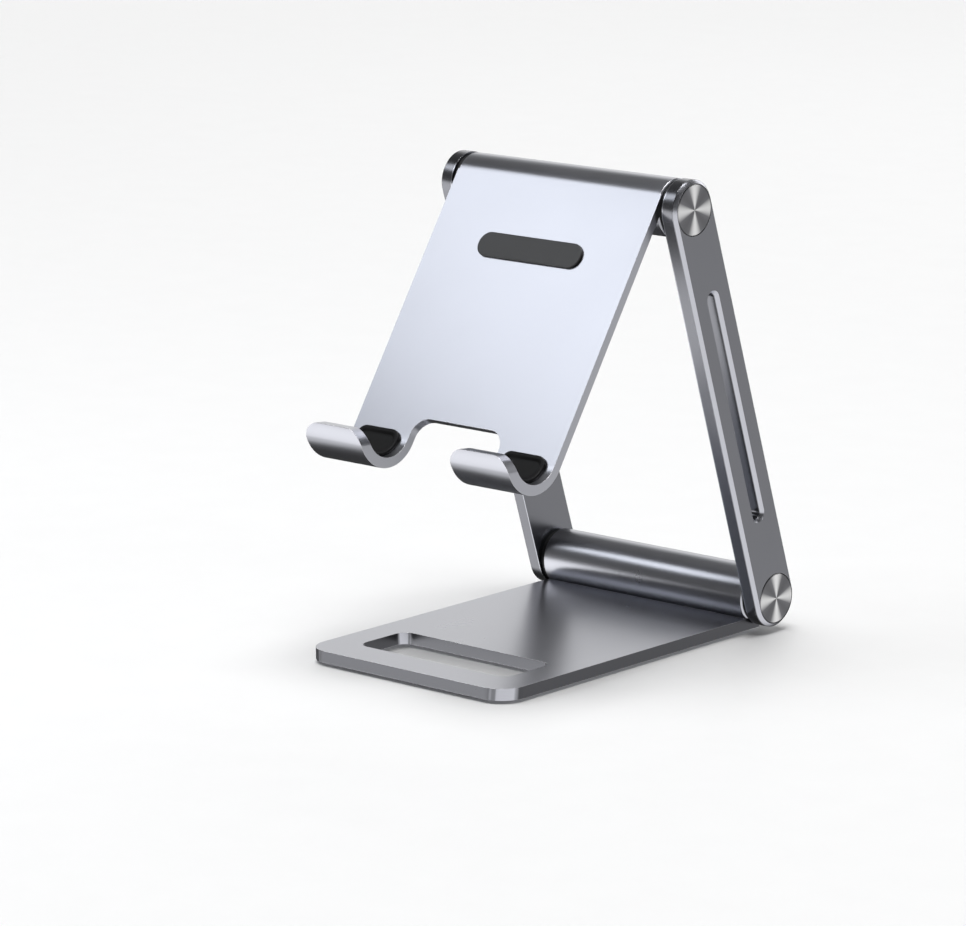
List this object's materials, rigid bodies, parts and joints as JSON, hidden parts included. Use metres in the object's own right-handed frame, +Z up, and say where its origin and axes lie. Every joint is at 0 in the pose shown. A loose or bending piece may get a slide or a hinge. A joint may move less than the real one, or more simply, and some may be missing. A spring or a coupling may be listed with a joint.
{
  "type": "phone stand",
  "caption": "Folding aluminium phone stand: flat base, slotted side arms and a tilting cradle with lined hooks on friction hinges.",
  "frame": {"origin": "on the resting plane, under the middle of the footprint", "axes": "+Z up, +X along both hinge axes towards the right-hand arm, -Y towards the side that the phone faces"},
  "size_m": [0.0722, 0.098, 0.1121],
  "materials": {
    "anodised_frame": "fine-blasted, space grey anodised",
    "anodised_cradle": "fine-blasted, space grey anodised",
    "spun_cap": "turned face with a radial sheen",
    "steel": "turned, bright",
    "washer_plastic": "self-lubricating black plastic",
    "rubber": "smooth matt silicone rubber"
  },
  "bodies": {
    "base": {"base_plate": "anodised_frame", "foot_pad_front": "rubber", "foot_pad_rear": "rubber", "friction_washer_lower_left": "washer_plastic", "friction_washer_lower_right": "washer_plastic"},
    "arms": {"arm_left": "anodised_frame", "arm_right": "anodised_frame", "lower_shaft": "steel", "hinge_screw_lower_left": "steel", "hinge_screw_lower_right": "steel", "disc_spring_lower_left": "steel", "disc_spring_lower_right": "steel", "disc_spring_upper_left": "steel", "disc_spring_upper_right": "steel", "hinge_cap_lower_left": "spun_cap", "hinge_cap_lower_right": "spun_cap", "hinge_cap_upper_left": "spun_cap", "hinge_cap_upper_right": "spun_cap"},
    "upper_pivot": {"upper_shaft": "steel", "hinge_screw_upper_left": "steel", "hinge_screw_upper_right": "steel"},
    "cradle": {"cradle": "anodised_cradle", "grip_pad": "rubber", "hook_lining_left": "rubber", "hook_lining_right": "rubber", "friction_washer_upper_left": "washer_plastic", "friction_washer_upper_right": "washer_plastic"}
  },
  "joints": [
    {"name": "base_hinge", "type": "hinge", "parent": "base", "child": "arms", "pos_m": [0, 0.04208, 0.0085], "axis": [1, 0, 0], "range_deg": [-15, 72.4]},
    {"name": "cradle_fold", "type": "hinge", "parent": "arms", "child": "upper_pivot", "pos_m": [0, 0.01141, 0.10515], "axis": [1, 0, 0], "range_deg": [-21.25, 101.48]},
    {"name": "cradle_tilt", "type": "hinge", "parent": "upper_pivot", "child": "cradle", "pos_m": [0, 0.01141, 0.10515], "axis": [1, 0, 0], "range_deg": [-35.5, 40]}
  ],
  "couplings": [
    {"joint": "cradle_fold", "follows": "base_hinge", "ratio": 1.4}
  ]
}
